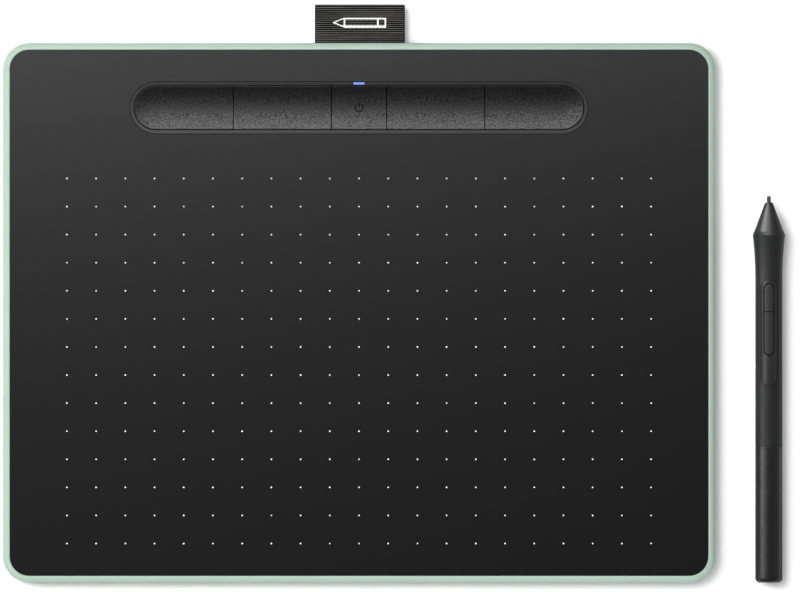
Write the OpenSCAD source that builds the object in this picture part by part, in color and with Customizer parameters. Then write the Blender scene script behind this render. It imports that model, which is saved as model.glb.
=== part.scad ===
// Pen drawing tablet: a slim case with five press keys and a carry loop, and a pen lying beside it.
// Units are millimetres, +Z is up, +Y is the back edge of the tablet, and the desk is at z = 0.

/* [Case] */
// Width of the case, left to right
case_w = 264; // [260:1:268]
// Depth of the case, front to back
case_d = 200; // [198:1:206]
// Height of the case above the desk, feet included
case_h = 8.8; // [8.8:0.1:9.4]
// Radius of the corners seen from above
corner_r = 9.7; // [9.4:0.1:11]
// Width of the coloured rim around the panel
rim_w = 2.4; // [2.2:0.1:2.8]
// Gap between the panel and the rim
panel_gap = 0.15; // [0.1:0.05:0.25]
// Height of the rubber feet below the case
foot_h = 0.8; // [0.6:0.1:0.8]
// Radius of each rubber foot
foot_r = 7; // [5:0.5:8]

/* [Keys] */
// Length of the opening that holds the keys
tray_w = 167.2; // [164:0.2:170]
// Depth of the opening that holds the keys
tray_d = 16.7; // [16.4:0.1:17]
// Distance of the key row in front of the case's back edge
tray_inset = 24; // [23.5:0.1:24.5]
// Gap around and between the keys
key_gap = 0.35; // [0.3:0.05:0.4]
// Half the width of the power key's place in the row
power_half_w = 10.25; // [9.5:0.25:12]
// Where the inner and outer keys meet, from the middle
outer_key_x = 46.65; // [44:0.05:50]
// Radius of the hollow along the tops of the keys
dish_r = 21.8; // [20:0.2:26]

/* [Carry loop] */
// Width of the woven loop
loop_w = 33.4; // [28:0.2:34]
// How far the loop reaches behind the case
loop_out = 14.4; // [12:0.2:18]
// Thickness of the ribbon
ribbon_t = 1; // [0.8:0.1:1]

/* [Pen] */
// Distance of the pen from the side of the case
pen_aside = 20; // [16:0.2:40]
// How far the nib lies in front of the case's back edge
pen_tip_inset = 56.6; // [40:0.2:57]
// Radius of the straight part of the pen
pen_r = 5; // [5:0.1:5.4]
// Radius of the grip at its widest place, near the tip
grip_r = 6.02; // [5.8:0.02:6.4]
// Radius of the nib
nib_r = 0.75; // [0.6:0.05:0.8]

/* [Hidden] */
$fn = 96;
eps = 0.01;
// Gaps of an ordinary fit and of a snug one
play = 0.1;
snug = 0.08;

// Heights in the case
floor_t = 1.6;
floor_z = foot_h + floor_t;
panel_t = 1.5;
panel_top = case_h - 0.15;
panel_z = panel_top - panel_t;
edge_top_r = 3.2;
edge_top_start = 15;
lip_w = 0.45;
edge_low_r = 4.5;
ledge_w = 1.6;
lip_r = corner_r - rim_w;
ledge_r = lip_r - ledge_w;
board_z = floor_z + 0.4;
board_t = 0.8;
board_top = board_z + board_t;

// Plan positions in the case, from its middle
tray_y = case_d / 2 - tray_inset;
tray_r = tray_d / 2;
tray_l = tray_w - tray_d;
ring_w = 1.32;
ring_r = tray_r + ring_w;
ring_low = panel_z - 0.85;
bevel_h = 0.08;
ring_edge = 0.12;
flange_t = 0.5;
flange_w = 2.8;
side_boss_inset = 11;
side_boss_y = [-88, -16, 54];
back_boss_inset = [22, 8];
case_boss_r = 2.4;
case_boss_at = [
    for (side = [-1, 1], y = side_boss_y) [side * (case_w / 2 - side_boss_inset), y],
    for (side = [-1, 1]) [side * (case_w / 2 - back_boss_inset[0]), case_d / 2 - back_boss_inset[1]]
];
case_screw_r = 0.9;
case_screw_l = 5.4;
case_head_r = 1.9;
case_head_h = 0.98;
head_recess = 1.1;
cross_w = 0.4;
board_x0 = -case_w / 2 + 4.6;
board_x1 = 108;
board_y0 = 61;
board_y1 = 88;
board_screw_at = [[-105, 65], [-105, 84], [-88, 65], [98, 65], [98, 84], [30, 64]];
board_screw_r = 0.7;
board_head_r = 1.5;
board_head_h = 0.9;
post_r = 2.2;
foot_inset = [24, 18];
foot_sunk = 0.4;
foot_at = [
    for (x = [-1, 1], y = [-1, 1]) [x * (case_w / 2 - foot_inset[0]), y * (case_d / 2 - foot_inset[1])]
];

// Keys
key_d = tray_d - 2 * key_gap;
key_r = key_d / 2;
key_travel = 0.4;
key_low = board_top + 1.8;
key_top = panel_top - 0.08;
key_land = 0.2;
dish_z = key_top + sqrt(dish_r * dish_r - pow(key_r - key_land, 2));
tab_t = 0.6;
tab_w = 4;
tab_out = 0.8;
tab_inset = 3.5;
key_pin_r = 1.5;
key_pin_h = 0.25;
switch_gap = 0.05;
switch_top = key_low - key_pin_h - key_travel - switch_gap;
switch_w = 4.5;
switch_h = 0.6;
switch_knob_r = 1.2;
mask_t = 0.3;
mask_out = 0.5;
inner_key_mid = (power_half_w + outer_key_x) / 2;
outer_key_mid = (outer_key_x + tray_w / 2) / 2;
switch_x = [-outer_key_mid, -inner_key_mid, 0, inner_key_mid, outer_key_mid];
light_w = 4;
light_d = 0.9;
light_y = tray_y + tray_r + 0.67;
light_base = board_top + 0.8;
sign_r = 1.65;
sign_line = 0.4;
sign_gap = 1.1;
sign_depth = 0.4;

// Digitiser, battery and cables
sensor_w = 230;
sensor_d = 150;
sensor_y = -18;
sensor_t = 1;
sensor_z = panel_z - 0.15 - sensor_t;
shield_t = 0.25;
shield_cut = 12;
shield_z = sensor_z - 0.05 - shield_t;
cell_size = [92, 56, 2.8];
cell_at = [-40, -20];
cell_z = floor_z + 0.2;
tape_size = [80, 44];
fence_t = 1.2;
fence_h = 1.8;
fence_gap = 0.6;
fence_side_l = 40;
fence_front_l = 60;
lead_r = 0.5;
lead_z = board_top + 0.65;
lead_x = [-60, -58.5, -57];
flex_w = 18;
flex_x = -20;
flex_t = 0.15;
flex_plug = [flex_w + 3, 3.5, 1];
plug_size = [6.4, 4, 1.3];
plug_y = board_y0 + 1.5;

// Socket in the left edge
usb_y = 75;
usb_w = 7.6;
usb_h = 2.6;
usb_l = 7;
usb_wall = 0.35;
usb_gap = 0.3;
usb_x = -case_w / 2 + 0.7;
usb_tongue_t = 0.6;

// Carry loop
loop_x = 0.3;
loop_t = 2 * ribbon_t + 0.5;
loop_in = 8.2;
loop_z = 5;
slot_gap = 0.15;
clamp_gap = 0.4;
clamp_wall = 1.2;
clamp_back = 0.9;
clamp_bar_t = 0.5;
clamp_d = 4;

// Pen lengths, measured from the tip
pen_l = 143.5;
cone_front = 2.5;
cone_back = 13.28;
barrel_front = 13.3;
front_r = 5.5;
flare_end = 31;
flare_r = 133;
seam_at = 93.3;
seam_gap = 0.03;
tail_r = 1.7;
barrel_bore = 4.2;
spigot_r = 4.1;
rear_bore = 4.15;
flare_peak = flare_end - sqrt(flare_r * flare_r - pow(flare_r - (grip_r - pen_r), 2));
pen_tilt = atan((grip_r - pen_r) / (pen_l - tail_r - flare_peak));
pen_x = case_w / 2 + pen_aside;
nib_l = 30;
nib_step = 8;
nib_thin_r = 0.45;
nib_travel = 0.3;
nib_gap = 0.06;
cone_tip_r = 1.5;
cone_tip_bevel = [0.25, 0.3];
cone_wall_r = 3.4;
cone_spigot_l = 5;
plate_from = 31.2;
plate_l = 39.2;
plate_w = 5.9;
plate_r = pen_r - 0.12;
plate_in_r = barrel_bore + 0.1;
plate_gap = 0.15;
rib_from = 61.2;
rib_pitch = 1.5;
rib_size = [0.5, 2.4];
rib_h = 0.1;
plate_post = [2, plate_in_r + 0.2, 6];
button_w = 3.3;
button_top_r = pen_r + 0.3;
upper_from = 32.7;
upper_l = 10.1;
lower_from = 43.1;
lower_l = 15.8;
button_gap = 0.4;
button_base = 2.4;
button_flange_w = 4.7;
button_flange_t = 0.7;
button_flange_inset = 2.2;
button_pin_r = 0.7;
button_travel = 0.25;
dome_top = 0.9;
pen_board_from = 33;
pen_board_l = 51;
pen_board_w = 5.8;
pen_board_t = 0.8;
core_l = 54;
core_r = barrel_bore - 0.2;
core_bed = [3.6, 4, 46];
rod_r = 1.6;
rod_l = 20.2;
coil_r = 2.5;
coil_from = 14;
coil_l = 12;
gauge_from = 29.3;
gauge_r = 2.8;
gauge_l = 3.2;
rear_bore_l = 46.5;
holder_from = 101.1;
holder_l = 21;
holder_r = 3.7;
holder_neck_r = 3.3;
holder_neck_l = 4;
spare_at_r = 1.9;
spare_angles = [90, 210, 330];

// The whole set is centred on the origin, so the case sits a little to the left and the front
case_x = -(pen_x + grip_r - case_w / 2) / 2;
case_y = -loop_out / 2;

// Piece to draw

// ---------- shared shapes ----------

module in_case() {
    translate([case_x, case_y, 0]) children();
}

module in_pen() {
    tip_z = grip_r * cos(pen_tilt) + flare_peak * sin(pen_tilt);
    translate([case_x + pen_x, case_y + case_d / 2 - pen_tip_inset, tip_z])
        rotate([90 + pen_tilt, 0, 0])
            children();
}

// Rectangle with round corners, centred
module round_rect(w, d, r) {
    square([w - 2 * r, d], center = true);
    square([w, d - 2 * r], center = true);
    for (x = [-1, 1], y = [-1, 1])
        translate([x * (w / 2 - r), y * (d / 2 - r)]) circle(r);
}

// Slot with round ends along X, centred
module slot_shape(l, d) {
    square([l - d, d], center = true);
    for (x = [-1, 1])
        translate([x * (l - d) / 2, 0]) circle(d / 2);
}

// Removes an outer corner down to a radius; the corner points towards +X and +Y
module corner_cut(r) {
    difference() {
        square(r + 1);
        circle(r);
    }
}

// Crossed slots in the head of a screw, cut upwards from below z = 0 to a height
module cross_slot(across, depth) {
    for (a = [0, 90])
        rotate(a) translate([-across / 2, -cross_w / 2, -1]) cube([across, cross_w, depth + 1]);
}

// ---------- case ----------

// Section of the case wall, measured outwards from the corner centres
module wall_section() {
    difference() {
        translate([0, foot_h]) square([corner_r, case_h - foot_h]);
        translate([-1, floor_z]) square([ledge_r + 1, case_h]);
        translate([-1, panel_z]) square([lip_r + 1, case_h]);
        rim_edge_cut();
        translate([corner_r - edge_low_r, foot_h + edge_low_r]) mirror([0, 1]) corner_cut(edge_low_r);
    }
}

// Removes the outer edge of the rim: a crown that starts at the lip and turns down to the side
module rim_edge_cut() {
    from = lip_r + lip_w;
    translate([from - edge_top_r * sin(edge_top_start), case_h - edge_top_r * cos(edge_top_start)])
        difference() {
            translate([edge_top_r * sin(edge_top_start), 0]) square([rim_w + 1, edge_top_r + 1]);
            circle(edge_top_r);
        }
}

module wall_side(length, out) {
    translate([0, out - corner_r, 0])
        rotate([90, 0, 90])
            linear_extrude(length - 2 * corner_r, center = true) wall_section();
}

module case_shell() {
    translate([corner_r - case_w / 2, corner_r - case_d / 2, foot_h])
        cube([case_w - 2 * corner_r, case_d - 2 * corner_r, floor_t]);
    for (a = [0, 180]) {
        rotate(a) wall_side(case_w, case_d / 2);
        rotate(a + 90) wall_side(case_d, case_w / 2);
        rotate(a) translate([case_w / 2 - corner_r, case_d / 2 - corner_r, 0])
            rotate_extrude(angle = 90) wall_section();
        rotate(a + 90) translate([case_d / 2 - corner_r, case_w / 2 - corner_r, 0])
            rotate_extrude(angle = 90) wall_section();
    }
}

// Low walls that keep the battery in place
module battery_fence() {
    translate([cell_at[0], cell_at[1], floor_z - eps]) {
        for (a = [0, 180])
            rotate(a) translate([cell_size[0] / 2 + fence_gap, -fence_side_l / 2, 0])
                cube([fence_t, fence_side_l, fence_h]);
        translate([-fence_front_l / 2, -cell_size[1] / 2 - fence_gap - fence_t, 0])
            cube([fence_front_l, fence_t, fence_h]);
    }
}

module bottom_cover() {
    color([0.56, 0.68, 0.58]) in_case() difference() {
        union() {
            case_shell();
            for (p = board_screw_at)
                translate([p[0], p[1], floor_z - eps]) cylinder(r = post_r, h = board_z - floor_z - eps);
            battery_fence();
        }
        for (p = case_boss_at) translate(p) {
            cylinder(r = case_head_r + 2 * play, h = foot_h + head_recess);
            cylinder(r = case_screw_r + 1.5 * play, h = floor_z + 1);
        }
        for (p = board_screw_at)
            translate([p[0], p[1], foot_h + 0.7]) cylinder(r = board_screw_r + play / 2, h = floor_z + 1);
        for (p = foot_at)
            translate(p) cylinder(r = foot_r + play, h = foot_h + foot_sunk);
        // Opening for the carry loop in the back edge
        translate([loop_x - loop_w / 2 - 2 * slot_gap, case_d / 2 - 6, loop_z - loop_t / 2 - slot_gap])
            cube([loop_w + 4 * slot_gap, 10, loop_t + 2 * slot_gap]);
        // Opening for the socket in the left edge
        translate([-case_w / 2 - 3, usb_y - usb_w / 2 - usb_gap, board_top - 0.25])
            cube([8, usb_w + 2 * usb_gap, usb_h + 0.5]);
        // Room for the edge of the circuit board under the socket
        translate([-case_w / 2 + 3, usb_y - 8, board_z - 1.5 * play]) cube([3, 16, board_t + 3 * play]);
    }
}

module top_panel() {
    color([0.05, 0.05, 0.055]) in_case() difference() {
        union() {
            translate([0, 0, panel_z]) linear_extrude(panel_t)
                round_rect(
                    case_w - 2 * (rim_w + panel_gap),
                    case_d - 2 * (rim_w + panel_gap),
                    lip_r - panel_gap
                );
            for (p = case_boss_at)
                translate([p[0], p[1], floor_z + 0.05]) cylinder(r = case_boss_r, h = panel_z - floor_z);
        }
        translate([0, tray_y, panel_z - 1]) linear_extrude(4)
            slot_shape(tray_l + 2 * ring_r + 2 * play, 2 * ring_r + 2 * play);
        for (p = case_boss_at)
            translate([p[0], p[1], 0]) cylinder(r = 0.95, h = panel_z - 0.4);
    }
}

module rubber_feet() {
    color([0.12, 0.12, 0.12]) in_case()
        for (p = foot_at) translate(p) cylinder(r = foot_r, h = foot_h + foot_sunk - 0.02);
}

module case_screws() {
    color([0.35, 0.35, 0.37]) in_case() for (p = case_boss_at) translate([p[0], p[1], foot_h]) difference() {
        translate([0, 0, play]) {
            cylinder(r = case_head_r, h = case_head_h);
            cylinder(r = case_screw_r, h = case_screw_l);
        }
        cross_slot(2.2, 0.6);
    }
}

// ---------- keys ----------

// Section of the ring around the keys, measured outwards from the row's centre line
module ring_section() {
    foot_top = panel_z - 0.1;
    polygon([
        [tray_r, ring_low],
        [tray_r, panel_top - bevel_h],
        [ring_r - ring_edge, panel_top],
        [ring_r, panel_top - ring_edge],
        [ring_r, foot_top],
        [ring_r + flange_w, foot_top],
        [ring_r + flange_w, foot_top - flange_t],
        [tray_r + 0.9, foot_top - flange_t],
        [tray_r + 0.9, ring_low]
    ]);
}

module key_frame() {
    color([0.045, 0.045, 0.05]) in_case() translate([0, tray_y, 0]) difference() {
        for (a = [0, 180]) rotate(a) {
            rotate([90, 0, 90]) linear_extrude(tray_l, center = true) ring_section();
            translate([tray_l / 2, 0, 0]) rotate(-90) rotate_extrude(angle = 180) ring_section();
        }
        translate([-light_w / 2 - 0.05, light_y - tray_y - light_d / 2 - 0.05, 0])
            cube([light_w + 0.1, light_d + 0.1, 20]);
    }
}

// Solid whose surface forms the hollow in the tops of the keys
module key_hollow() {
    for (a = [0, 180]) rotate(a) translate([0, 0, dish_z]) rotate([0, 90, 0]) rotate_extrude($fn = 360) {
        square([dish_r, tray_l / 2]);
        translate([0, tray_l / 2]) intersection() {
            circle(dish_r, $fn = 360);
            square(dish_r);
        }
    }
}

// One key between two places in the row, with its catches and the pin that presses its switch
module key_body(from, to, round_end, pin_x) {
    difference() {
        translate([0, 0, key_low]) linear_extrude(key_top - key_low) {
            translate([from, -key_r]) square([to - from, key_d]);
            if (round_end) translate([to, 0]) circle(key_r);
        }
        key_hollow();
    }
    for (x = [from + tab_inset, to - tab_inset])
        translate([x - tab_w / 2, -key_r - tab_out, key_low]) cube([tab_w, key_d + 2 * tab_out, tab_t]);
    translate([pin_x, 0, key_low - key_pin_h]) cylinder(r = key_pin_r, h = key_pin_h + tab_t);
}

module key_row_piece() {
    color([0.06, 0.06, 0.065]) in_case() translate([0, tray_y, 0]) children();
}

module key_outer_right() {
    key_row_piece() key_body(outer_key_x + key_gap / 2, tray_l / 2, true, outer_key_mid);
}

module key_outer_left() {
    key_row_piece() rotate(180) key_body(outer_key_x + key_gap / 2, tray_l / 2, true, outer_key_mid);
}

module key_inner_right() {
    key_row_piece() key_body(power_half_w + key_gap / 2, outer_key_x - key_gap / 2, false, inner_key_mid);
}

module key_inner_left() {
    key_row_piece() key_body(key_gap / 2 - outer_key_x, -power_half_w - key_gap / 2, false, -inner_key_mid);
}

// A plain on-off sign: a broken ring with a short bar
module power_sign() {
    difference() {
        circle(sign_r);
        circle(sign_r - sign_line);
        translate([-sign_gap / 2, 0]) square([sign_gap, sign_r + 1]);
    }
    translate([-sign_line / 2, sign_line]) square([sign_line, sign_r]);
}

module power_key() {
    key_row_piece() difference() {
        key_body(key_gap / 2 - power_half_w, power_half_w - key_gap / 2, false, 0);
        translate([0, 0, dish_z - dish_r - sign_depth]) linear_extrude(2) power_sign();
    }
}

// Black film over the switches that keeps light out of the gaps between the keys
module key_light_mask() {
    color([0.04, 0.04, 0.04]) in_case() translate([0, tray_y, board_top + switch_h]) linear_extrude(mask_t)
        difference() {
            slot_shape(tray_w + 2 * mask_out, tray_d + 2 * mask_out);
            for (x = switch_x) translate([x, 0]) circle(switch_knob_r + 2 * play);
            translate([0, light_y - tray_y]) square([light_w + 4 * play, light_d + 4 * play], center = true);
        }
}

module status_light_guide() {
    y0 = light_y - light_d / 2;
    y1 = light_y + light_d / 2;
    slope = bevel_h / (ring_w - ring_edge);
    low = panel_top - bevel_h + slope * (y0 - tray_y - tray_r);
    high = panel_top - bevel_h + slope * (y1 - tray_y - tray_r);
    color([0.25, 0.4, 1]) in_case() rotate([90, 0, 90]) linear_extrude(light_w, center = true)
        polygon([[y0, light_base], [y1, light_base], [y1, high], [y0, low]]);
}

module status_led() {
    color([0.85, 0.85, 0.8]) in_case() translate([0, light_y, board_top]) {
        translate([-0.8, -0.4, 0]) cube([1.6, 0.8, 0.3]);
        translate([-0.5, -0.4, 0.3 - eps]) cube([1, 0.8, 0.35]);
    }
}

// ---------- boards ----------

module main_board() {
    color([0.05, 0.25, 0.13]) in_case() translate([0, 0, board_z]) linear_extrude(board_t) difference() {
        translate([board_x0, board_y0]) square([board_x1 - board_x0, board_y1 - board_y0]);
        for (p = board_screw_at) translate(p) circle(0.85);
        translate([board_x0 - 1, board_y0 - 1]) square([5, 8]);
        translate([board_x0 - 1, board_y1 - 4]) square([5, 6]);
    }
}

module board_screws() {
    color([0.6, 0.6, 0.62]) in_case() for (p = board_screw_at) translate([p[0], p[1], board_top + 0.02]) {
        difference() {
            cylinder(r = board_head_r, h = board_head_h);
            mirror([0, 0, 1]) translate([0, 0, -board_head_h]) cross_slot(1.8, 0.4);
        }
        translate([0, 0, foot_h + 0.9 - board_top]) cylinder(r = board_screw_r, h = board_top - foot_h - 0.5);
    }
}

module key_switches() {
    color([0.75, 0.75, 0.76]) in_case() for (x = switch_x) translate([x, tray_y, board_top]) {
        translate([-switch_w / 2, -switch_w / 2, 0]) cube([switch_w, switch_w, switch_h]);
        cylinder(r = switch_knob_r, h = switch_top - board_top);
    }
}

module controller_chips() {
    // Place, footprint and height of each chip
    chips = [
        [[-112, 70], [5, 5, 0.8]],
        [[-96, 76], [7, 7, 0.9]],
        [[-113, 84], [3, 3, 0.7]],
        [[-89, 81], [4, 3, 0.7]]
    ];
    color([0.07, 0.07, 0.07]) in_case() for (c = chips)
        translate([c[0][0] - c[1][0] / 2, c[0][1] - c[1][1] / 2, board_top]) cube(c[1]);
}

module shield_can() {
    can = [13, 9, 1.5];
    wall = 0.2;
    color([0.7, 0.7, 0.72]) in_case() translate([-103, 62, board_top]) difference() {
        cube(can);
        translate([wall, wall, -wall]) cube([can[0] - 2 * wall, can[1] - 2 * wall, can[2]]);
    }
}

module radio_module() {
    card = [18, 12, 0.6];
    can = [11, 10, 1];
    color([0.06, 0.15, 0.3]) in_case() translate([88, 68, board_top]) {
        cube(card);
        translate([1, 1, card[2] - eps]) cube(can);
        // Stepped strips of the aerial
        for (i = [0:3]) translate([13 + i, 1.5 + 0.3 * i, card[2] - eps]) cube([0.4, 9, 0.1]);
    }
}

module usb_socket() {
    inner = [usb_l, usb_w - 2 * usb_wall, usb_h - 2 * usb_wall];
    tongue = [usb_l - 1.2, usb_w - 3.2, usb_tongue_t];
    color([0.72, 0.72, 0.74]) in_case() translate([usb_x, usb_y, board_top + usb_h / 2]) {
        difference() {
            translate([0, -usb_w / 2, -usb_h / 2]) cube([usb_l, usb_w, usb_h]);
            translate([-1, -inner[1] / 2, -inner[2] / 2]) cube(inner);
        }
        translate([usb_l - 0.4 - tongue[0], -tongue[1] / 2, -play]) cube(tongue);
    }
}

// ---------- digitiser and battery ----------

module sensor_board() {
    color([0.1, 0.3, 0.2]) in_case() translate([0, sensor_y, sensor_z]) linear_extrude(sensor_t)
        round_rect(sensor_w, sensor_d, 3);
}

module sensor_shield() {
    color([0.7, 0.7, 0.7]) in_case()
        translate([-sensor_w / 2 + 1, sensor_y - sensor_d / 2 + 1, shield_z])
            cube([sensor_w - 2, sensor_d - shield_cut, shield_t]);
}

module flex_connectors() {
    sensor_back = sensor_y + sensor_d / 2;
    x = flex_x - flex_plug[0] / 2;
    color([0.85, 0.82, 0.72]) in_case() {
        translate([x, sensor_back - 2 * flex_plug[1], sensor_z - flex_plug[2]]) cube(flex_plug);
        translate([x, board_y0 + 2.5, board_top]) cube(flex_plug);
    }
}

module flex_cable() {
    start = sensor_y + sensor_d / 2 - flex_plug[1];
    end = board_y0 + 2.5;
    high = sensor_z - 0.6;
    low = board_top + 0.45;
    color([0.75, 0.5, 0.2]) in_case() translate([flex_x, 0, 0]) rotate([90, 0, 90])
        linear_extrude(flex_w, center = true) polygon([
            [start, high],
            [start + 3, high],
            [end - 2, low],
            [end, low],
            [end, low + flex_t],
            [end - 1.9, low + flex_t],
            [start + 3.1, high + flex_t],
            [start, high + flex_t]
        ]);
}

module battery_cell() {
    color([0.62, 0.63, 0.66]) in_case() translate([cell_at[0], cell_at[1], cell_z + cell_size[2] / 2])
        rotate([90, 0, 90]) linear_extrude(cell_size[0], center = true)
            round_rect(cell_size[1], cell_size[2], 1);
}

module battery_tape() {
    color([0.85, 0.8, 0.6]) in_case()
        translate([cell_at[0] - tape_size[0] / 2, cell_at[1] - tape_size[1] / 2, floor_z])
            cube([tape_size[0], tape_size[1], cell_z - floor_z]);
}

module battery_leads() {
    from_y = cell_at[1] + cell_size[1] / 2;
    color([0.6, 0.06, 0.05]) in_case() for (x = lead_x)
        translate([x, from_y, lead_z]) rotate([-90, 0, 0]) cylinder(r = lead_r, h = plug_y - from_y);
}

module battery_plug() {
    color([0.9, 0.9, 0.86]) in_case() translate([lead_x[1] - plug_size[0] / 2, plug_y, board_top])
        cube(plug_size);
}

// ---------- carry loop ----------

// Side view of the folded ribbon; the fold is at the back
module loop_section() {
    straight = loop_in + loop_out - loop_t / 2;
    difference() {
        union() {
            translate([-loop_in, -loop_t / 2]) square([straight, loop_t]);
            translate([straight - loop_in, 0]) circle(loop_t / 2);
        }
        translate([-loop_in - 1, ribbon_t - loop_t / 2]) square([straight + 1, loop_t - 2 * ribbon_t]);
        translate([straight - loop_in, 0]) circle(loop_t / 2 - ribbon_t);
    }
}

module loop_tag() {
    color([0.1, 0.1, 0.1]) in_case() translate([loop_x, case_d / 2, loop_z]) rotate([90, 0, 90])
        linear_extrude(loop_w, center = true) loop_section();
}

module loop_clamp() {
    in_y = case_d / 2 - loop_in - clamp_back - 2 * play;
    half = loop_w / 2 + clamp_gap;
    out_w = 2 * (half + clamp_wall);
    bar_z = loop_z + loop_t / 2 + play;
    wall_h = bar_z + play - floor_z;
    color([0.3, 0.3, 0.32]) in_case() translate([loop_x, in_y, 0]) {
        translate([-out_w / 2, 0, bar_z]) cube([out_w, clamp_d, clamp_bar_t]);
        translate([-out_w / 2, 0, floor_z]) cube([out_w, clamp_back, wall_h]);
        for (x = [-half - clamp_wall, half])
            translate([x, 0, floor_z]) cube([clamp_wall, clamp_d, wall_h]);
    }
}

// ---------- pen ----------

// Slot with round ends cut down into the pen from above, along it from a place near its tip
module pen_slot(from, length, width) {
    translate([0, 0, from + length / 2]) rotate([-90, 0, 0]) linear_extrude(10)
        rotate(90) slot_shape(length, width);
}

module tube(inner, outer, from, length) {
    translate([0, 0, from]) linear_extrude(length) difference() {
        circle(outer);
        circle(inner);
    }
}

// Section of the front barrel: a short bevel behind the cone, the grip, and the straight part
module barrel_section() {
    difference() {
        translate([barrel_bore, barrel_front]) square([grip_r - barrel_bore, flare_end - barrel_front]);
        translate([pen_r + flare_r, flare_end]) circle(flare_r, $fn = 1440);
        polygon([
            [front_r, barrel_front],
            [front_r, barrel_front - 1],
            [grip_r + 1, barrel_front - 1],
            [grip_r + 1, flare_peak],
            [grip_r, flare_peak]
        ]);
    }
    translate([barrel_bore, flare_end]) square([pen_r - barrel_bore, seam_at - seam_gap - flare_end]);
}

module pen_barrel() {
    color([0.07, 0.07, 0.075]) in_pen() difference() {
        rotate_extrude() barrel_section();
        pen_slot(plate_from - plate_gap, plate_l + 2 * plate_gap, plate_w + 2 * plate_gap);
    }
}

module pen_cone() {
    hole_r = nib_r + nib_gap;
    spigot = barrel_bore - snug;
    color([0.08, 0.08, 0.085]) in_pen() rotate_extrude() polygon([
        [hole_r, cone_front],
        [cone_tip_r - cone_tip_bevel[0], cone_front],
        [cone_tip_r, cone_front + cone_tip_bevel[1]],
        [front_r - play, cone_back],
        [spigot, cone_back],
        [spigot, cone_back + cone_spigot_l],
        [cone_wall_r, cone_back + cone_spigot_l],
        [cone_wall_r, cone_back - 0.8],
        [hole_r, cone_front + 4]
    ]);
}

module nib_shape() {
    rotate_extrude() {
        intersection() {
            translate([0, nib_r]) circle(nib_r);
            square(nib_r);
        }
        translate([0, nib_r]) square([nib_r, nib_step - nib_r]);
        translate([0, nib_step]) square([nib_thin_r, nib_l - nib_step]);
    }
}

module pen_nib() {
    color([0.12, 0.12, 0.12]) in_pen() nib_shape();
}

module pen_switch_plate() {
    opening_l = lower_from + lower_l - upper_from + 2 * button_gap;
    color([0.05, 0.05, 0.055]) in_pen() {
        difference() {
            intersection() {
                tube(plate_in_r, plate_r, plate_from - 1, plate_l + 2);
                pen_slot(plate_from, plate_l, plate_w);
            }
            pen_slot(upper_from - button_gap, opening_l, button_w + 2 * button_gap);
        }
        // Post that stands on the circuit board
        translate([-plate_post[0] / 2, 0, rib_from]) cube(plate_post);
        // Short raised bars below the switches
        intersection() {
            tube(plate_r - 0.3, plate_r + rib_h, plate_from, plate_l);
            for (i = [0:4]) translate([-rib_size[1] / 2, 0, rib_from + rib_pitch * i])
                cube([rib_size[1], pen_r + 1, rib_size[0]]);
        }
    }
}

// Outline of one switch, seen from above with its length along Y; round_at is 1 to round the front end
// and -1 to round the rear one
module button_shape(length, round_at) {
    r = button_w / 2;
    translate([0, -round_at * r / 2]) square([button_w, length - r], center = true);
    translate([0, round_at * (length / 2 - r)]) circle(r);
}

module pen_button(from, length, round_at) {
    flange_l = length - 2 * button_flange_inset;
    pin_low = dome_top + button_travel + switch_gap;
    intersection() {
        translate([0, 0, from - 1]) cylinder(r = button_top_r, h = length + 2);
        translate([0, button_base, from + length / 2]) rotate([-90, 0, 0])
            linear_extrude(button_top_r) button_shape(length, round_at);
    }
    translate([-button_flange_w / 2, button_base, from + button_flange_inset])
        cube([button_flange_w, button_flange_t, flange_l]);
    translate([0, pin_low, from + length / 2]) rotate([-90, 0, 0])
        cylinder(r = button_pin_r, h = button_base + play - pin_low);
}

module pen_upper_switch() {
    color([0.09, 0.09, 0.095]) in_pen() pen_button(upper_from, upper_l, 1);
}

module pen_lower_switch() {
    color([0.09, 0.09, 0.095]) in_pen() pen_button(lower_from, lower_l, -1);
}

module pen_core_frame() {
    core_end = pen_board_from + core_l;
    color([0.2, 0.2, 0.21]) in_pen() {
        difference() {
            translate([0, 0, pen_board_from]) cylinder(r = core_r, h = core_l);
            translate([-5, -pen_board_t - play / 2, pen_board_from - 1]) cube([10, 10, core_l - 1]);
            translate([-core_bed[0] / 2, -3, pen_board_from + 3]) cube(core_bed);
        }
        tube(cone_wall_r, spigot_r, core_end - 0.5, holder_from - core_end + 0.5);
    }
}

module pen_ferrite_rod() {
    color([0.16, 0.16, 0.17]) in_pen() tube(nib_thin_r + snug, rod_r, nib_step + 1, rod_l);
}

module pen_coil() {
    color([0.72, 0.4, 0.15]) in_pen() tube(rod_r + play / 2, coil_r, coil_from, coil_l);
}

module pen_pressure_sensor() {
    hole_end = nib_l + 2 * nib_travel;
    color([0.78, 0.76, 0.7]) in_pen() difference() {
        translate([0, 0, gauge_from]) cylinder(r = gauge_r, h = gauge_l);
        translate([0, 0, gauge_from - 1]) cylinder(r = nib_thin_r + snug, h = hole_end - gauge_from + 1);
    }
}

module pen_board() {
    color([0.05, 0.25, 0.13]) in_pen()
        translate([-pen_board_w / 2, -pen_board_t, pen_board_from])
            cube([pen_board_w, pen_board_t, pen_board_l]);
}

module pen_dome_switches() {
    middles = [upper_from + upper_l / 2, lower_from + lower_l / 2];
    color([0.75, 0.75, 0.76]) in_pen() for (s = middles)
        translate([0, 0, s]) rotate([-90, 0, 0]) {
            cylinder(r = 1.7, h = 0.5);
            cylinder(r = 0.8, h = dome_top);
        }
}

module pen_rear_barrel() {
    color([0.09, 0.09, 0.095]) in_pen() rotate_extrude() difference() {
        translate([0, seam_at + seam_gap]) square([pen_r, pen_l - seam_at - seam_gap]);
        translate([-1, seam_at]) square([rear_bore + 1, rear_bore_l]);
        translate([pen_r - tail_r, pen_l - tail_r]) corner_cut(tail_r);
    }
}

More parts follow.
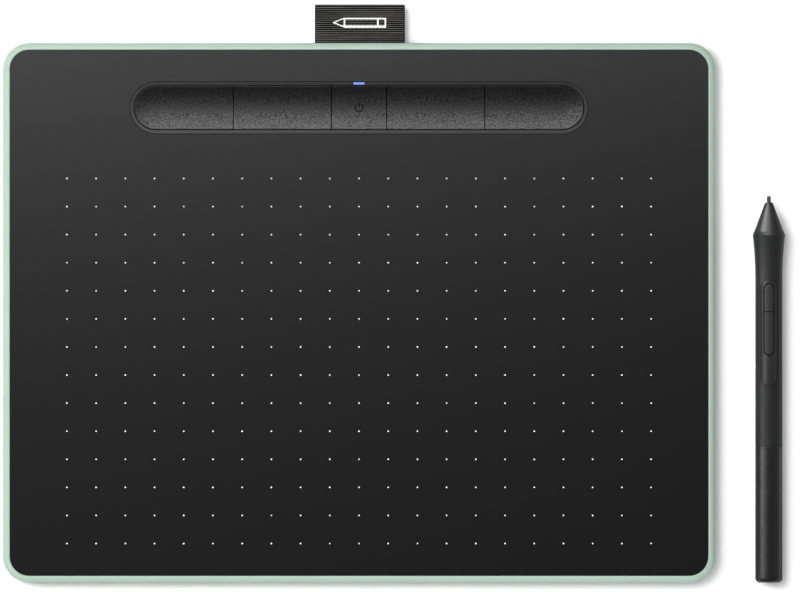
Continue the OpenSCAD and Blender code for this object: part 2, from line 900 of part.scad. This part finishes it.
module nib_holder() {
    color([0.3, 0.3, 0.31]) in_pen() difference() {
        union() {
            translate([0, 0, holder_from + play / 2]) cylinder(r = holder_r, h = holder_l);
            translate([0, 0, holder_from - holder_neck_l]) cylinder(r = holder_neck_r, h = holder_neck_l + 1);
        }
        for (a = spare_angles) rotate(a)
            translate([spare_at_r, 0, holder_from + 2]) cylinder(r = nib_r + nib_gap, h = holder_l);
    }
}

module spare_nibs() {
    color([0.12, 0.12, 0.12]) in_pen() for (a = spare_angles) rotate(a)
        translate([spare_at_r, 0, holder_from + 2 + play + nib_l]) mirror([0, 0, 1]) nib_shape();
}

bottom_cover();
top_panel();
rubber_feet();
case_screws();
key_frame();
key_outer_left();
key_inner_left();
power_key();
key_inner_right();
key_outer_right();
key_light_mask();
status_light_guide();
status_led();
main_board();
board_screws();
key_switches();
controller_chips();
shield_can();
radio_module();
usb_socket();
sensor_board();
sensor_shield();
flex_cable();
flex_connectors();
battery_cell();
battery_tape();
battery_leads();
battery_plug();
loop_tag();
loop_clamp();
pen_barrel();
pen_cone();
pen_nib();
pen_switch_plate();
pen_upper_switch();
pen_lower_switch();
pen_core_frame();
pen_ferrite_rod();
pen_coil();
pen_pressure_sensor();
pen_board();
pen_dome_switches();
pen_rear_barrel();
nib_holder();
spare_nibs();
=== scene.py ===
"""Looks of the pen drawing tablet and its pen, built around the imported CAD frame.

Everything is in metres in the frame's own axes: +X right, +Y to the back edge, +Z up, the desk at z = 0.
"""

import math
import random

import bpy
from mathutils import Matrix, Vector

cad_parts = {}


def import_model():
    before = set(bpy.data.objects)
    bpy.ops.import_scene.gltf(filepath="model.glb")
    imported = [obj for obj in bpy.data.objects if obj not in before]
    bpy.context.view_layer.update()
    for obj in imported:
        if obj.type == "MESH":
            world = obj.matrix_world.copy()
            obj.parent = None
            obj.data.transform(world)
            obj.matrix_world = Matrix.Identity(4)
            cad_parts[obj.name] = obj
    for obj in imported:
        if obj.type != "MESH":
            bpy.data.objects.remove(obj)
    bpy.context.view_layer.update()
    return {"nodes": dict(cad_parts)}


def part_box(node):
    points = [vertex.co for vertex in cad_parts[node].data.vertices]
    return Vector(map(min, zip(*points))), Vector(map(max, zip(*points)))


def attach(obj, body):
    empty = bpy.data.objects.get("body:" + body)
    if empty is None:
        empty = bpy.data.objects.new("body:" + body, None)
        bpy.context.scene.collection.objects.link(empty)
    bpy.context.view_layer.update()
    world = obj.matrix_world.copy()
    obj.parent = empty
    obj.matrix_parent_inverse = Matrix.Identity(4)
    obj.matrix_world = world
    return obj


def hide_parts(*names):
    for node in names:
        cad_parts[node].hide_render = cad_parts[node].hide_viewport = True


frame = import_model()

MM = 0.001
nodes = frame["nodes"]


# ---------- places, read from the frame ----------

case_low, case_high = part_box("bottom_cover")
loop_low, loop_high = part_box("loop_tag")
CASE_MID = (case_low + case_high) / 2
PANEL_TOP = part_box("top_panel")[1].z


# ---------- materials ----------

class Surface:
    """One procedural material: a Principled shader and the texture nodes that feed it."""

    def __init__(self, name, rough=0.5, specular=0.5, metallic=0.0):
        self.material = bpy.data.materials.new(name)
        self.material.use_nodes = True
        self.tree = self.material.node_tree
        self.shader = self.tree.nodes["Principled BSDF"]
        self.shader.inputs["Roughness"].default_value = rough
        self.shader.inputs["Specular IOR Level"].default_value = specular
        self.shader.inputs["Metallic"].default_value = metallic
        self.coords = self.tree.nodes.new("ShaderNodeTexCoord").outputs["Object"]
        self.height = None

    def link(self, a, b):
        """Joins an output to an input."""
        self.tree.links.new(a, b)

    def noise(self, size_mm, detail=2.0, stretch=(1, 1, 1), offset=0.0):
        """Noise whose features are about size_mm across, from 0 to 1."""
        mapping = self.tree.nodes.new("ShaderNodeMapping")
        mapping.inputs["Scale"].default_value = stretch
        mapping.inputs["Location"].default_value = (offset, offset, offset)
        self.link(self.coords, mapping.inputs["Vector"])
        texture = self.tree.nodes.new("ShaderNodeTexNoise")
        texture.inputs["Scale"].default_value = 1 / (size_mm * MM)
        texture.inputs["Detail"].default_value = detail
        self.link(mapping.outputs["Vector"], texture.inputs["Vector"])
        return texture.outputs["Fac"]

    def wave(self, pitch_mm, direction, distortion=0.0, profile="SIN"):
        """Bands at a real pitch, from 0 to 1."""
        texture = self.tree.nodes.new("ShaderNodeTexWave")
        texture.bands_direction = direction
        texture.wave_profile = profile
        texture.inputs["Scale"].default_value = math.tau / (20 * pitch_mm * MM)
        texture.inputs["Distortion"].default_value = distortion
        texture.inputs["Detail Scale"].default_value = 4
        self.link(self.coords, texture.inputs["Vector"])
        return texture.outputs["Fac"]

    def ramp(self, fac, stops):
        """Colours at places along a value: stops is [(place, (r, g, b)), ...]."""
        ramp = self.tree.nodes.new("ShaderNodeValToRGB")
        elements = ramp.color_ramp.elements
        while len(elements) < len(stops):
            elements.new(0.5)
        for element, (place, colour) in zip(elements, stops):
            element.position = place
            element.color = (*colour, 1)
        self.link(fac, ramp.inputs["Fac"])
        return ramp.outputs["Color"]

    def mix(self, fac, a, b):
        """Colour a where fac is 0 and b where it is 1; each is a socket or an (r, g, b)."""
        node = self.tree.nodes.new("ShaderNodeMix")
        node.data_type = "RGBA"
        for socket, value in ((node.inputs[0], fac), (node.inputs[6], a), (node.inputs[7], b)):
            if isinstance(value, bpy.types.NodeSocket):
                self.link(value, socket)
            else:
                socket.default_value = value if isinstance(value, float) else (*value, 1)
        return node.outputs[2]

    def axis(self, name):
        """One of the object's own coordinates, in metres."""
        node = self.tree.nodes.new("ShaderNodeSeparateXYZ")
        self.link(self.coords, node.inputs[0])
        return node.outputs[name]

    def math(self, operation, a, b=0.0):
        """Arithmetic on two operands, each of them an output or a number."""
        node = self.tree.nodes.new("ShaderNodeMath")
        node.operation = operation
        for socket, value in zip(node.inputs, (a, b)):
            if isinstance(value, bpy.types.NodeSocket):
                self.link(value, socket)
            else:
                socket.default_value = value
        return node.outputs[0]

    def within(self, value, low, high):
        """1 where the value lies between low and high, and 0 elsewhere."""
        above = self.math("GREATER_THAN", value, low)
        return self.math("MULTIPLY", above, self.math("LESS_THAN", value, high))

    def mottle(self, rgb, spread, size_mm=25.0):
        """Base colour that wanders a little between a darker and a lighter tone."""
        dark = tuple(c * (1 - spread) for c in rgb)
        light = tuple(c * (1 + spread) for c in rgb)
        return self.ramp(self.noise(size_mm, 4.0), [(0.3, dark), (0.7, light)])

    def colour(self, socket):
        self.link(socket, self.shader.inputs["Base Color"])

    def remap(self, value, start, end, low, high):
        """Goes from low to high as the value goes from start to end."""
        node = self.tree.nodes.new("ShaderNodeMapRange")
        for name, number in (("From Min", start), ("From Max", end), ("To Min", low), ("To Max", high)):
            node.inputs[name].default_value = number
        self.link(value, node.inputs["Value"])
        return node.outputs["Result"]

    def vary(self, name, fac, low, high, span=(0.0, 1.0)):
        """Drives one of the shader's inputs from low to high as fac crosses its span."""
        self.link(self.remap(fac, *span, low, high), self.shader.inputs[name])

    def bump(self, fac, depth_mm, strength=1.0):
        """Adds relief; several calls stack."""
        node = self.tree.nodes.new("ShaderNodeBump")
        node.inputs["Strength"].default_value = strength
        node.inputs["Distance"].default_value = depth_mm * MM
        self.link(fac, node.inputs["Height"])
        if self.height is not None:
            self.link(self.height, node.inputs["Normal"])
        self.height = node.outputs["Normal"]
        self.link(self.height, self.shader.inputs["Normal"])


def moulded(name, rgb, rough, grain_mm=0.35, depth_mm=0.006, spread=0.06, specular=0.5, dim=None):
    """Moulded plastic with an etched grain and a faint unevenness; dim says where it shines less."""
    s = Surface(name, rough, specular)
    if dim:
        s.link(s.math("MULTIPLY", dim(s), specular), s.shader.inputs["Specular IOR Level"])
    grain = s.noise(grain_mm, 2.0)
    s.colour(s.mottle(rgb, spread))
    s.vary("Roughness", s.noise(grain_mm * 3, 3.0, offset=0.3), rough - 0.04, rough + 0.05)
    s.bump(grain, depth_mm)
    return s.material


def grained(name, rgb, rough, dull, bright, dim=None):
    """Matte etched plastic whose facets catch the light one by one; dim says where they shine less."""
    s = Surface(name, rough)
    grain = s.noise(0.42, 2.0)
    facets = s.remap(grain, 0.3, 0.7, dull, bright)
    if dim:
        facets = s.math("MULTIPLY", facets, dim(s))
    s.colour(s.mottle(rgb, 0.05))
    s.link(facets, s.shader.inputs["Specular IOR Level"])
    s.bump(grain, 0.02)
    return s.material


def low_side_shade(s):
    """Painted shade: 0 on the lower half of the pen lying on the desk, whose shine is taken away so it stays
    dark, and 1 on top of it.
    """
    return s.remap(s.axis("Z"), *PEN_SHEEN, 0.0, 1.0)


def gap_shade(s):
    """Painted shade: 0 in the gaps round the keys, whose shine is taken away so they read as shaded, and 1
    on the lip that frames them.
    """
    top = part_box("power_key")[1].z
    dark, clear = 0.6 * MM, 0.1 * MM
    return s.remap(s.axis("Z"), top - dark, top - clear, 0.0, 1.0)


def power_sign_shade(s):
    """Painted shade: near 0 in the power key's engraved on-off sign, whose grooves lose their shine so they
    read as shaded, and 1 around it.
    """
    low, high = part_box("power_key")
    x = s.math("SUBTRACT", s.axis("X"), (low.x + high.x) / 2)
    y = s.math("SUBTRACT", s.axis("Y"), (low.y + high.y) / 2)
    away = s.math("SQRT", s.math("ADD", s.math("POWER", x, 2.0), s.math("POWER", y, 2.0)))
    ring = s.within(away, SIGN_R - SIGN_LINE, SIGN_R)
    gap = s.math("MULTIPLY", s.within(x, -SIGN_GAP / 2, SIGN_GAP / 2), s.within(y, 0.0, 2 * SIGN_R))
    ring = s.math("MULTIPLY", ring, s.math("SUBTRACT", 1.0, gap))
    bar_across = s.within(x, -SIGN_LINE / 2, SIGN_LINE / 2)
    bar = s.math("MULTIPLY", bar_across, s.within(y, SIGN_LINE, SIGN_R + SIGN_LINE))
    return s.remap(s.math("ADD", ring, bar), 0.0, 1.0, 1.0, 0.1)


def metal(name, rgb, rough, streak=(1, 18, 1), grain_mm=0.6):
    """Plated or brushed metal with fine streaks."""
    s = Surface(name, rough, metallic=1.0)
    streaks = s.noise(grain_mm, 3.0, streak)
    s.colour(s.mottle(rgb, 0.08, 6.0))
    s.vary("Roughness", streaks, rough - 0.08, rough + 0.1)
    s.bump(streaks, 0.003)
    return s.material


def circuit(name, mask, track):
    """Solder mask over copper tracks, with the tracks a little lighter."""
    s = Surface(name, 0.35)
    along = s.wave(1.1, "Y", 2.0)
    across = s.wave(1.7, "X", 1.2)
    patch = s.noise(14.0, 1.0)
    choice = s.ramp(patch, [(0.48, (0, 0, 0)), (0.52, (1, 1, 1))])
    lines = s.mix(choice, along, across)
    tracks = s.ramp(lines, [(0.55, (0, 0, 0)), (0.65, (1, 1, 1))])
    s.colour(s.mix(tracks, s.mottle(mask, 0.1, 8.0), track))
    s.bump(tracks, 0.02, 0.6)
    return s.material


def foil(name, rgb, rough):
    """Soft metal pouch with shallow creases."""
    s = Surface(name, rough, metallic=1.0)
    s.colour(s.mottle(rgb, 0.06, 12.0))
    s.bump(s.noise(7.0, 3.0), 0.15)
    s.bump(s.noise(0.8, 2.0), 0.01)
    return s.material


def wound(name, rgb):
    """Fine wire wound round the pen's axis, with painted shade between the turns."""
    s = Surface(name, 0.3, metallic=1.0)
    turns = s.wave(0.35, "Y")
    s.colour(s.ramp(turns, [(0.1, tuple(c * 0.35 for c in rgb)), (0.6, rgb)]))
    s.bump(turns, 0.1)
    return s.material


def lit_guide(name, core, edge):
    """Light guide with a blue light behind it, brightest along its middle."""
    s = Surface(name, 0.3)
    low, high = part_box("status_light_guide")
    away = s.math("ABSOLUTE", s.math("SUBTRACT", s.axis("Y"), (low.y + high.y) / 2))
    core_half = 0.12 * MM
    glow = s.remap(away, core_half, (high.y - low.y) / 2, 1.0, 0.0)
    s.colour(s.mottle((0.02, 0.03, 0.14), 0.1, 0.5))
    s.link(s.ramp(glow, [(0.0, edge), (1.0, core)]), s.shader.inputs["Emission Color"])
    s.shader.inputs["Emission Strength"].default_value = 1.0
    s.bump(s.noise(0.3, 1.0), 0.003)
    return s.material


def ribbon_weave(name, valley, crest):
    """Grosgrain: ribs across the ribbon, some paler than others; each rib's crest is painted light and the
    valley between ribs painted shade, and the fold and the sides are darkened with painted shade.
    """
    fold_fade, side_fade = 0.5 * MM, 0.4 * MM
    s = Surface(name, 0.9, 0.0)
    s.shader.inputs["Sheen Weight"].default_value = 0.005
    s.shader.inputs["Sheen Roughness"].default_value = 0.5
    from_fold = s.math("SUBTRACT", RIB_START, s.axis("Y"))
    rib = s.math("ABSOLUTE", s.math("SINE", s.math("MULTIPLY", from_fold, math.pi / RIB_PITCH)))
    pale = s.noise(1.1, 2.0, (0.08, 1, 1))
    threads = s.wave(0.32, "X", 0.6)
    fuzz = s.noise(0.5, 4.0, (0.25, 2.5, 1))
    # Painted light and shade: the ribs' crests light and the valleys between them dark.
    tone = s.math("MULTIPLY", s.math("POWER", rib, 8.0), s.math("MULTIPLY", pale, 1.8))
    tone = s.math("MULTIPLY", tone, s.math("ADD", s.math("MULTIPLY", fuzz, 0.6), 0.7))
    # Painted shade towards the fold and the selvedges.
    fold_shade = s.remap(s.axis("Y"), loop_high.y - fold_fade, loop_high.y, 1.0, 0.1)
    tone = s.math("MULTIPLY", tone, fold_shade)
    aside = s.math("ABSOLUTE", s.math("SUBTRACT", s.axis("X"), LOOP_MID_X))
    side_shade = s.remap(aside, LOOP_WIDTH / 2 - side_fade, LOOP_WIDTH / 2, 1.0, 0.3)
    tone = s.math("MULTIPLY", tone, side_shade)
    s.colour(s.ramp(tone, [(0.02, valley), (0.98, crest)]))
    s.bump(threads, 0.03)
    s.bump(fuzz, 0.05)
    return s.material


def thread(name, rgb):
    """Glossy white woven thread."""
    s = Surface(name, 0.6, 0.3)
    s.shader.inputs["Sheen Weight"].default_value = 0.3
    twist = s.wave(0.4, "DIAGONAL", 1.0)
    s.colour(s.ramp(twist, [(0.0, tuple(c * 0.8 for c in rgb)), (0.7, rgb)]))
    s.bump(twist, 0.02)
    return s.material


def ink(name, rgb):
    """Screen-printed ink with a slightly uneven edge and coverage."""
    s = Surface(name, 0.6, 0.3)
    s.colour(s.mottle(rgb, 0.06, 0.2))
    s.bump(s.noise(0.12, 2.0), 0.002)
    return s.material


def dress(material, *names):
    """Gives CAD nodes a finished material."""
    for name in names:
        node = nodes[name]
        if not node.material_slots:
            node.data.materials.append(material)
        for place in node.material_slots:
            place.material = material


# Base colours are linear
GREEN = (0.287, 0.373, 0.314)
PANEL = (0.0006, 0.0005, 0.0005)
KEY = (0.0012, 0.0011, 0.0012)
# Specular level of a key's dullest and brightest facets
KEY_FACETS = (0.01, 0.305)
FRAME = (0.0012, 0.0011, 0.0012)
PEN = (0.0120, 0.0123, 0.0130)
# Heights between which the pen's shine sets in; below them its reflections are cut away as painted shade
PEN_SHEEN = (6.4 * MM, 8.2 * MM)
PEN_SHELL = ("pen_barrel", "pen_cone", "pen_rear_barrel")
PEN_TAIL = (0.0010, 0.0010, 0.0011)
# Outer radius, line width and top gap of the on-off sign
SIGN_R = 1.65 * MM
SIGN_LINE = 0.4 * MM
SIGN_GAP = 1.1 * MM

dress(moulded("case_green", GREEN, 0.5, 0.3, 0.003, 0.02, 0.05), "bottom_cover")
dress(moulded("panel_black", PANEL, 0.45, 0.45, 0.006, 0.05, 0.144), "top_panel")
dress(
    grained("key_black", KEY, 0.45, *KEY_FACETS),
    "key_outer_left", "key_inner_left", "key_inner_right", "key_outer_right",
)
# The power key's engraved sign is darkened by cutting its shine: painted shade in the grooves.
dress(grained("power_key_black", KEY, 0.45, *KEY_FACETS, power_sign_shade), "power_key")
# The key frame's shine is cut below the key tops: painted shade in the gaps round the keys.
dress(moulded("frame_black", FRAME, 0.4, 0.4, 0.008, 0.06, 0.2, gap_shade), "key_frame")
dress(moulded("mask_black", (0.0006, 0.0006, 0.0006), 0.9, 0.4, 0.004, specular=0.0), "key_light_mask")
dress(moulded("foot_rubber", (0.02, 0.02, 0.02), 0.8, 0.3, 0.02, 0.1, 0.3), "rubber_feet")
# The pen's shell shines only on top: its lower half is dulled by height as painted shade.
dress(moulded("pen_black", PEN, 0.42, 0.25, 0.003, 0.06, 0.13, low_side_shade), "pen_barrel", "pen_cone")
dress(moulded("pen_plate_black", (0.001, 0.001, 0.001), 0.35, 0.3, 0.004), "pen_switch_plate")
dress(
    moulded("pen_button_black", (0.004, 0.004, 0.0045), 0.4, 0.3, 0.004, specular=0.4),
    "pen_upper_switch", "pen_lower_switch",
)
# The pen's tail, too, is dulled on its lower half as painted shade.
dress(grained("pen_tail_black", PEN_TAIL, 0.36, 0.15, 0.52, low_side_shade), "pen_rear_barrel")
dress(moulded("nib_black", (0.006, 0.006, 0.006), 0.3, 0.2, 0.003), "pen_nib", "spare_nibs")
dress(moulded("inner_grey", (0.06, 0.06, 0.063), 0.5), "nib_holder", "loop_clamp")
dress(moulded("core_black", (0.006, 0.006, 0.006), 0.6), "pen_core_frame")
dress(moulded("chip_black", (0.015, 0.015, 0.015), 0.45, 0.2, 0.006), "controller_chips")
dress(moulded("connector_cream", (0.62, 0.55, 0.38), 0.45), "flex_connectors")
dress(moulded("tape_cream", (0.6, 0.5, 0.28), 0.6, 0.8, 0.02, 0.1), "battery_tape")
dress(moulded("lead_red", (0.35, 0.01, 0.01), 0.4), "battery_leads")
dress(moulded("plug_white", (0.75, 0.74, 0.68), 0.45), "battery_plug")
dress(moulded("led_white", (0.75, 0.75, 0.62), 0.3), "status_led")
# The pen's sensor is near black as painted shade, so the gaps round the pen's switches stay dark.
dress(moulded("sensor_ceramic", (0.004, 0.004, 0.0045), 0.5), "pen_pressure_sensor")
dress(moulded("ferrite", (0.03, 0.03, 0.033), 0.55, 0.3, 0.02), "pen_ferrite_rod")
dress(moulded("flex_amber", (0.45, 0.17, 0.02), 0.3, 2.0, 0.02, 0.2), "flex_cable")
dress(metal("screw_steel", (0.28, 0.28, 0.3), 0.35, (3, 3, 3)), "case_screws", "board_screws")
dress(metal("switch_metal", (0.62, 0.62, 0.63), 0.3), "key_switches", "pen_dome_switches")
dress(metal("can_metal", (0.6, 0.6, 0.62), 0.35), "shield_can", "usb_socket")
dress(foil("shield_foil", (0.62, 0.62, 0.62), 0.35), "sensor_shield")
dress(foil("cell_foil", (0.5, 0.51, 0.54), 0.4), "battery_cell")
dress(circuit("board_green", (0.008, 0.09, 0.03), (0.03, 0.2, 0.08)), "main_board", "sensor_board")
# The pen's board is near black as painted shade, so the gaps round the pen's switches stay dark.
dress(circuit("board_black", (0.002, 0.002, 0.002), (0.008, 0.008, 0.009)), "pen_board")
dress(circuit("module_blue", (0.006, 0.03, 0.1), (0.03, 0.09, 0.22)), "radio_module")
dress(wound("coil_copper", (0.75, 0.32, 0.12)), "pen_coil")
dress(lit_guide("light_blue", (0.19, 0.33, 1.0), (0.03, 0.06, 0.42)), "status_light_guide")


# ---------- pieces made here ----------

def piece(name, verts, faces, material, body):
    """A mesh object in the row frame that rides on a CAD body."""
    mesh = bpy.data.meshes.new(name)
    mesh.from_pydata(verts, [], faces)
    mesh.validate()
    mesh.materials.append(material)
    obj = bpy.data.objects.new(name, mesh)
    bpy.context.scene.collection.objects.link(obj)
    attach(obj, body)
    return obj


def disc(centre, radius, thick, sides=16):
    """Vertices and faces of a thin round spot of ink lying on a surface."""
    verts = []
    for level in (0, thick):
        for i in range(sides):
            a = math.tau * i / sides
            r = radius if level == 0 else radius * 0.94
            verts.append((centre[0] + r * math.cos(a), centre[1] + r * math.sin(a), centre[2] + level))
    sidewalls = [(i, (i + 1) % sides, sides + (i + 1) % sides, sides + i) for i in range(sides)]
    return verts, sidewalls + [tuple(range(sides, 2 * sides)), tuple(reversed(range(sides)))]


DOT_STEP = Vector((10.83 * MM, 10.41 * MM))
DOT_R = 0.27 * MM
DOT_THICK = 0.012 * MM
DOT_LIFT = 0.002 * MM
# How far the middle of the work area lies in front of the case's own
WORK_AREA_FORWARD = 17.9 * MM


def work_area_dots():
    """The printed grid that marks the active area."""
    columns, rows = 21, 14
    middle = Vector((CASE_MID.x, CASE_MID.y - WORK_AREA_FORWARD))
    verts, faces = [], []
    for row in range(rows):
        for column in range(columns):
            x = middle.x + (column - (columns - 1) / 2) * DOT_STEP.x
            y = middle.y + (row - (rows - 1) / 2) * DOT_STEP.y
            spot, spot_faces = disc((x, y, PANEL_TOP + DOT_LIFT), DOT_R, DOT_THICK)
            faces += [tuple(i + len(verts) for i in face) for face in spot_faces]
            verts += spot
    return piece("work_area_dots", verts, faces, ink("dot_ink", (0.86, 0.85, 0.83)), "tablet")


RIB_PITCH = 0.78 * MM
RIB_DEPTH = 0.13 * MM
SELVEDGE = 0.2 * MM
LOOP_WIDTH = loop_high.x - loop_low.x
LOOP_THICK = loop_high.z - loop_low.z
LOOP_MID_Z = (loop_high.z + loop_low.z) / 2
LOOP_MID_X = (loop_high.x + loop_low.x) / 2
RIBBON = 0.98 * MM
FOLD_R = (LOOP_THICK - RIBBON) / 2
FOLD_Y = loop_high.y - LOOP_THICK / 2
LOOP_STRAIGHT = FOLD_Y - loop_low.y
LOOP_LENGTH = 2 * LOOP_STRAIGHT + math.pi * FOLD_R
RIB_START = FOLD_Y + math.pi * FOLD_R / 2


def ribbon_line(s):
    """Place and outward direction at a distance along the folded ribbon, in the YZ plane."""
    if s < LOOP_STRAIGHT:
        return loop_low.y + s, LOOP_MID_Z - FOLD_R, 0.0, -1.0
    s -= LOOP_STRAIGHT
    turn = math.pi * FOLD_R
    if s < turn:
        a = s / FOLD_R - math.pi / 2
        return FOLD_Y + FOLD_R * math.cos(a), LOOP_MID_Z + FOLD_R * math.sin(a), math.cos(a), math.sin(a)
    return FOLD_Y - (s - turn), LOOP_MID_Z + FOLD_R, 0.0, 1.0


def ribbon_loop():
    """The folded ribbon, with a rib across it every fraction of a millimetre and a selvedge at each side."""
    random.seed(7)
    along, across = 368, 40
    ribs = [random.uniform(0.75, 1.0) for _ in range(int(LOOP_LENGTH / RIB_PITCH) + 3)]
    outer, inner = [], []
    for i in range(along + 1):
        s = LOOP_LENGTH * i / along
        y, z, ny, nz = ribbon_line(s)
        phase = abs(s - LOOP_LENGTH / 2) / RIB_PITCH
        crest = ribs[int(phase)] * abs(math.sin(math.pi * phase)) ** 0.7
        for j in range(across + 1):
            u = j / across
            edge = min(u, 1 - u) * LOOP_WIDTH
            round_off = math.sqrt(max(0.1, 1 - max(0.0, 1 - edge / SELVEDGE) ** 2))
            half = (RIBBON / 2 - RIB_DEPTH + RIB_DEPTH * crest) * (1 - (1 - round_off) * abs(nz))
            x = loop_low.x + u * LOOP_WIDTH
            outer.append((x, y + ny * half, z + nz * half))
            inner.append((x, y - ny * half, z - nz * half))
    verts = outer + inner
    shift = len(outer)
    faces = []
    row = across + 1
    for i in range(along):
        for j in range(across):
            a = i * row + j
            faces.append((a, a + 1, a + row + 1, a + row))
            faces.append((shift + a, shift + a + row, shift + a + row + 1, shift + a + 1))
        for j in (0, across):
            a = i * row + j
            side = (a, a + row, shift + a + row, shift + a)
            faces.append(side if j == 0 else side[::-1])
    for i in (0, along):
        for j in range(across):
            a = i * row + j
            end = (a + 1, a, shift + a, shift + a + 1)
            faces.append(end if i == 0 else end[::-1])
    # Colours of the ribs' painted-shade valleys and painted-light crests.
    material = ribbon_weave("ribbon_black", (0.002, 0.0019, 0.0018), (0.13, 0.127, 0.12))
    obj = piece("loop_ribbon", verts, faces, material, "tablet")
    for polygon in obj.data.polygons:
        polygon.use_smooth = True
    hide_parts("loop_tag")
    return obj


def woven_mark():
    """A plain white outline of a pen, woven into the ribbon as short floats of thread."""
    length, half = 20.0 * MM, 1.75 * MM
    tip = 4.2 * MM
    stroke = 0.62 * MM
    middle = Vector((LOOP_MID_X - 0.2 * MM, case_high.y + 7.6 * MM, loop_high.z - 0.06 * MM))
    left = middle.x - length / 2
    right = middle.x + length / 2
    pitch = RIB_PITCH / 3
    float_length, float_gap = 1.6 * MM, 0.04 * MM
    verts, faces = [], []

    def spans(y):
        """The stretches of X that the outline covers at a height y above its own middle."""
        if abs(y) > half:
            return []
        slant = left + tip * abs(y) / half
        body = left + tip
        if abs(y) > half - stroke:
            return [(slant, right)]
        runs = [(slant, slant + 1.5 * stroke), (body, body + stroke), (right - stroke, right)]
        cap = right - 3.4 * MM
        runs.append((cap, cap + stroke))
        return runs

    rows = int(2 * half / pitch)
    for i in range(rows + 1):
        y = -half + i * pitch
        for x0, x1 in spans(y):
            count = max(1, round((x1 - x0) / float_length))
            for k in range(count):
                a = x0 + (x1 - x0) * k / count
                b = x0 + (x1 - x0) * (k + 1) / count - float_gap
                float_thread(verts, faces, a, b, middle.y + y, middle.z, pitch * 0.6)
    material = thread("thread_white", (0.86, 0.86, 0.85))
    return piece("woven_mark", verts, faces, material, "tablet")


def float_thread(verts, faces, x0, x1, y, z, radius):
    """One float of thread along X: a thin bar with a round top whose ends dip into the cloth."""
    sides, rings = 8, 7
    base = len(verts)
    for i in range(rings):
        t = i / (rings - 1)
        swell = math.sin(math.pi * (0.12 + 0.76 * t)) ** 0.5
        for k in range(sides):
            a = math.tau * k / sides
            verts.append((
                x0 + (x1 - x0) * t,
                y + radius * swell * math.cos(a),
                z + radius * 0.55 * swell * math.sin(a),
            ))
    for i in range(rings - 1):
        for k in range(sides):
            a = base + i * sides + k
            b = base + i * sides + (k + 1) % sides
            faces.append((a, b, b + sides, a + sides))
    faces.append(tuple(base + k for k in reversed(range(sides))))
    faces.append(tuple(base + (rings - 1) * sides + k for k in range(sides)))


work_area_dots()
ribbon_loop()
woven_mark()


# ---------- studio ----------

def floor_plane():
    """The white desk, wide enough to fill every view."""
    mesh = bpy.data.meshes.new("studio_floor")
    reach = 6.0
    corners = [(-reach, -reach, 0), (reach, -reach, 0), (reach, reach, 0), (-reach, reach, 0)]
    mesh.from_pydata(corners, [], [(0, 1, 2, 3)])
    s = Surface("studio_white", 0.9, 0.1)
    s.colour(s.mottle((0.93, 0.93, 0.93), 0.004, 300.0))
    mesh.materials.append(s.material)
    obj = bpy.data.objects.new("studio_floor", mesh)
    bpy.context.scene.collection.objects.link(obj)


def area_light(name, place, size, power, shows="both", only=()):
    """A soft box that faces the origin and isn't seen itself, kept to shading, reflections or some nodes."""
    data = bpy.data.lights.new(name, "AREA")
    data.shape = "RECTANGLE"
    data.size, data.size_y = size
    data.energy = power
    obj = bpy.data.objects.new(name, data)
    obj.location = place
    obj.rotation_euler = (-Vector(place)).to_track_quat("-Z", "Y").to_euler()
    obj.visible_camera = False
    obj.visible_diffuse = shows != "reflections"
    obj.visible_glossy = shows != "shading"
    if only:
        lit = bpy.data.collections.new(name)
        for node in only:
            lit.objects.link(bpy.data.objects[node])
        obj.light_linking.receiver_collection = lit
    bpy.context.scene.collection.objects.link(obj)


def camera():
    """Straight down from far away, with the tablet and the pen in view."""
    field = 296.6 * MM
    height = 8.0
    aside, back = 15.2 * MM, 4.9 * MM
    data = bpy.data.cameras.new("camera")
    data.sensor_width = 36
    data.lens = data.sensor_width * (height - PANEL_TOP) / field
    obj = bpy.data.objects.new("camera", data)
    obj.location = (CASE_MID.x + aside, CASE_MID.y + back, height)
    bpy.context.scene.collection.objects.link(obj)
    bpy.context.scene.camera = obj


def world(strength):
    """Even white light from all round."""
    w = bpy.data.worlds.new("studio")
    w.use_nodes = True
    w.node_tree.nodes["Background"].inputs["Color"].default_value = (1, 1, 1, 1)
    w.node_tree.nodes["Background"].inputs["Strength"].default_value = strength
    bpy.context.scene.world = w


floor_plane()
camera()
world(0.45)
area_light("key_light", (-0.30, 0.20, 1.10), (0.60, 0.50), 8.4, "shading")
area_light("side_fill", (-0.90, 0.30, 0.70), (0.50, 0.50), 8.1, "shading")
area_light("top_fill", (0.0, 0.0, 1.50), (1.0, 1.0), 6.4, "shading")
area_light("rim_fill", (0.30, -0.80, 0.60), (0.60, 0.40), 4.3, "shading", ("bottom_cover",))
area_light("panel_sheen", (-0.02, 0.14, 0.25), (0.60, 0.05), 1.46, "reflections")
area_light("key_sheen", (-0.08, 0.36, 0.36), (0.50, 0.12), 5.9, "reflections")
area_light("high_sheen", (-0.55, 0.20, 0.95), (0.50, 0.50), 3.7, "reflections")
area_light("right_sheen", (1.10, 0.0, 0.60), (0.80, 0.80), 0.5, "reflections")
area_light("pen_sheen", (-0.90, 0.20, 0.55), (0.50, 0.60), 12, "reflections", PEN_SHELL)
area_light("cone_sheen", (-0.55, 0.46, 0.52), (0.40, 0.40), 32, "reflections", ("pen_cone",))
bpy.context.scene.view_settings.view_transform = "Standard"
